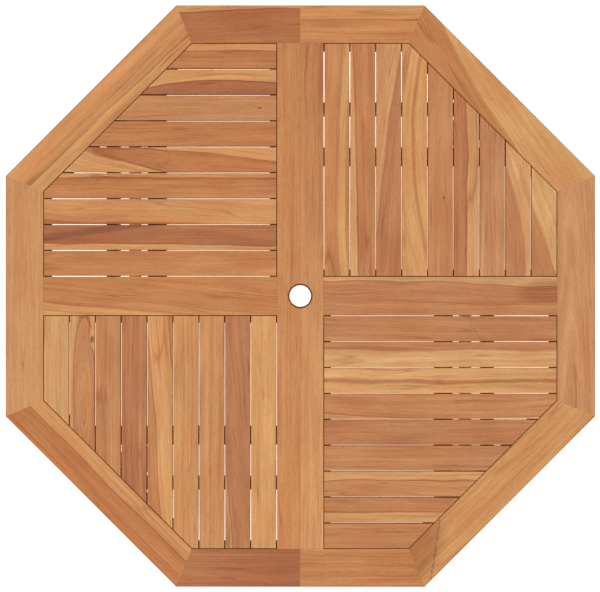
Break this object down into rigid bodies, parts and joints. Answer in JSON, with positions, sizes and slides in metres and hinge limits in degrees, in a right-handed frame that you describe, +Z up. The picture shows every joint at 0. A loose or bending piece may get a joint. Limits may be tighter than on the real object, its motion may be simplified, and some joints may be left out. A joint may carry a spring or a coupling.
{
  "type": "octagonal slatted garden dining table",
  "caption": "Eight-sided slatted teak dining table with a two-part top, a parasol hole on the seam and a square apron base on straight legs.",
  "frame": {"origin": "on the floor, straight below the parasol hole", "axes": "+Z up, +X across the seam between the two half tops, +Y along the seam towards the back"},
  "size_m": [1.2, 1.1838, 0.75],
  "materials": {
    "teak": "oiled, satin",
    "dowel_wood": "raw",
    "zinc_steel": "zinc plated",
    "glide_plastic": "matte"
  },
  "bodies": {
    "root": {"barrel_nuts": "zinc_steel", "batten_back_left": "teak", "batten_back_right": "teak", "batten_front_left": "teak", "batten_front_right": "teak", "bracket_screws": "zinc_steel", "centre_bar_left": "teak", "centre_bar_right": "teak", "corner_board_back_left": "teak", "corner_board_back_right": "teak", "corner_board_front_left": "teak", "corner_board_front_right": "teak", "cross_apron_back": "teak", "cross_apron_front": "teak", "crossbar_left": "teak", "crossbar_right": "teak", "end_board_back_left": "teak", "end_board_back_right": "teak", "end_board_front_left": "teak", "end_board_front_right": "teak", "foot_glides": "glide_plastic", "frame_dowels": "dowel_wood", "leg_back_left": "teak", "leg_back_right": "teak", "leg_bolts": "zinc_steel", "leg_front_left": "teak", "leg_front_right": "teak", "middle_stretcher": "teak", "seam_plates": "zinc_steel", "seam_screws": "zinc_steel", "side_apron_left": "teak", "side_apron_right": "teak", "side_board_left": "teak", "side_board_right": "teak", "slat_across_1": "teak", "slat_across_2": "teak", "slat_across_3": "teak", "slat_across_4": "teak", "slat_across_5": "teak", "slat_across_6": "teak", "slat_across_7": "teak", "slat_across_8": "teak", "slat_across_9": "teak", "slat_deep_1": "teak", "slat_deep_2": "teak", "slat_deep_3": "teak", "slat_deep_4": "teak", "slat_deep_5": "teak", "slat_deep_6": "teak", "slat_deep_7": "teak", "slat_deep_8": "teak", "slat_deep_9": "teak", "slat_screws": "zinc_steel", "stretcher_left": "teak", "stretcher_right": "teak", "top_brackets": "zinc_steel"}
  },
  "joints": []
}
